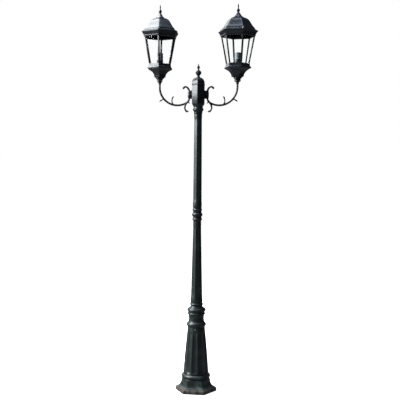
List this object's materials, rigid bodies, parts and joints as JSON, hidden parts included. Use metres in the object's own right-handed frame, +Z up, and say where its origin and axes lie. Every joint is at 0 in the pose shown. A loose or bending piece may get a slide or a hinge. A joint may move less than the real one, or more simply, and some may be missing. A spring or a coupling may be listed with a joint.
{
  "type": "street lamp post",
  "caption": "Two-armed street lamp post: hexagonal foot, fluted pedestal, faceted tapered pole, hub with scrolled arms and six-sided glazed lanterns whose roofs lift off.",
  "frame": {"origin": "centre of the anchor bolt circle on the ground, on the post's axis", "axes": "+Z up the post, +X along the right-hand arm, -Y the front"},
  "size_m": [0.6948, 0.2418, 2.3],
  "materials": {
    "dark_green_paint": "satin dark green-black paint over cast aluminium, greenish and pale wear on the mouldings",
    "clear_glass": "clear flat panes",
    "brass_parts": "plain brass",
    "pale_ceramic": "glazed grey-white porcelain",
    "dark_plastic": "black moulded phenolic",
    "lead_sheath": "black rubber sheath",
    "zinc_steel": "zinc-plated steel"
  },
  "bodies": {
    "post": {"anchor_plate": "zinc_steel", "arm_nuts": "zinc_steel", "collar_screws": "zinc_steel", "earth_stud": "brass_parts", "fluted_pedestal": "dark_green_paint", "foot_casting": "dark_green_paint", "foot_screws": "zinc_steel", "foot_terminal_block": "pale_ceramic", "hub_body": "dark_green_paint", "hub_cap": "dark_green_paint", "hub_collar": "dark_green_paint", "hub_crossbar": "zinc_steel", "hub_finial": "dark_green_paint", "hub_terminal_block": "pale_ceramic", "left_arm": "dark_green_paint", "left_lead": "lead_sheath", "lower_collar": "dark_green_paint", "lower_nipple": "zinc_steel", "lower_pole": "dark_green_paint", "main_lead": "lead_sheath", "middle_collar": "dark_green_paint", "middle_nipple": "zinc_steel", "nipple_nut": "zinc_steel", "pedestal_bolts": "zinc_steel", "right_arm": "dark_green_paint", "right_lead": "lead_sheath", "upper_nipple": "zinc_steel", "upper_pole": "dark_green_paint"},
    "left_lantern": {"left_bowl": "dark_green_paint", "left_centre_contact": "brass_parts", "left_cornice": "dark_green_paint", "left_cup": "dark_green_paint", "left_lampholder": "pale_ceramic", "left_lampholder_cap": "dark_plastic", "left_lower_rim": "dark_green_paint", "left_panes": "clear_glass", "left_ribs": "dark_green_paint", "left_screw_shell": "brass_parts", "left_set_screws": "zinc_steel", "left_stem": "zinc_steel", "left_stem_nut": "zinc_steel"},
    "left_roof": {"left_roof": "dark_green_paint", "left_roof_finial": "dark_green_paint", "left_roof_screws": "zinc_steel"},
    "right_lantern": {"right_bowl": "dark_green_paint", "right_centre_contact": "brass_parts", "right_cornice": "dark_green_paint", "right_cup": "dark_green_paint", "right_lampholder": "pale_ceramic", "right_lampholder_cap": "dark_plastic", "right_lower_rim": "dark_green_paint", "right_panes": "clear_glass", "right_ribs": "dark_green_paint", "right_screw_shell": "brass_parts", "right_set_screws": "zinc_steel", "right_stem": "zinc_steel", "right_stem_nut": "zinc_steel"},
    "right_roof": {"right_roof": "dark_green_paint", "right_roof_finial": "dark_green_paint", "right_roof_screws": "zinc_steel"}
  },
  "joints": [
    {"name": "left_turn", "type": "hinge", "parent": "post", "child": "left_lantern", "pos_m": [-0.232, 0, 1.839], "axis": [0, 0, 1], "range_deg": [-170, 170]},
    {"name": "left_roof_lift", "type": "slide", "parent": "left_lantern", "child": "left_roof", "axis": [0, 0, 1], "range_m": [0, 0.15]},
    {"name": "right_turn", "type": "hinge", "parent": "post", "child": "right_lantern", "pos_m": [0.232, 0, 1.839], "axis": [0, 0, 1], "range_deg": [-170, 170]},
    {"name": "right_roof_lift", "type": "slide", "parent": "right_lantern", "child": "right_roof", "axis": [0, 0, 1], "range_m": [0, 0.15]}
  ]
}
